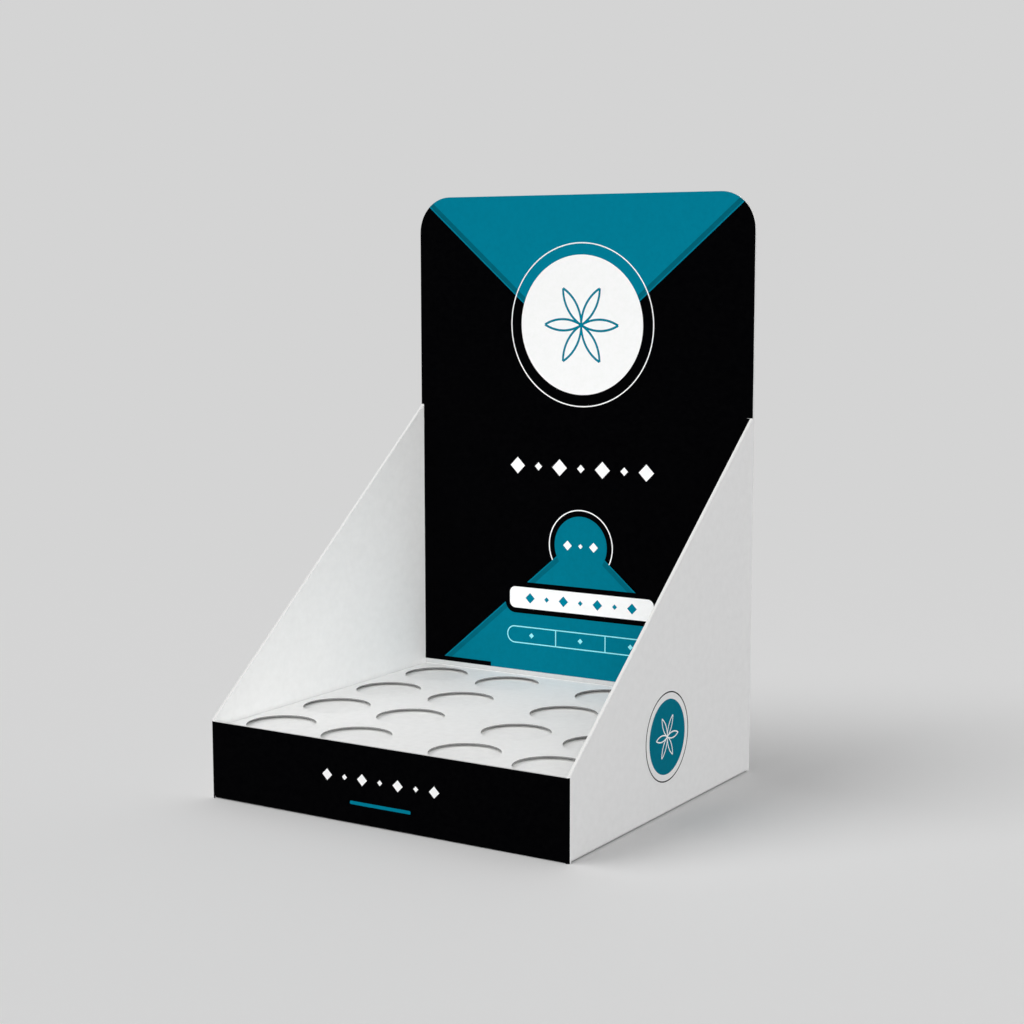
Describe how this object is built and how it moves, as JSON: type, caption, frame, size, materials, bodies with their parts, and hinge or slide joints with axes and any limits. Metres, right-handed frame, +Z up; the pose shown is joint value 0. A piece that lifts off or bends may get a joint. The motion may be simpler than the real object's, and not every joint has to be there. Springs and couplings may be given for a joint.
{
  "type": "counter display box",
  "caption": "Folding-carton counter display with a tall rounded header, sloped side walls and a punched deck that holds small bottles upright.",
  "frame": {"origin": "middle of the footprint, on the counter", "axes": "+X to the right seen from the front, +Y towards the rear wall and header, +Z up"},
  "size_m": [0.2, 0.1824, 0.2924],
  "materials": {
    "carton_board": "white coated board, printed in black and teal on the front wall, rear wall and header",
    "deck_board": "plain white coated board",
    "riser_board": "plain white coated board"
  },
  "bodies": {
    "root": {"display_carton": "carton_board", "punched_deck": "deck_board", "riser_tray": "riser_board"}
  },
  "joints": []
}
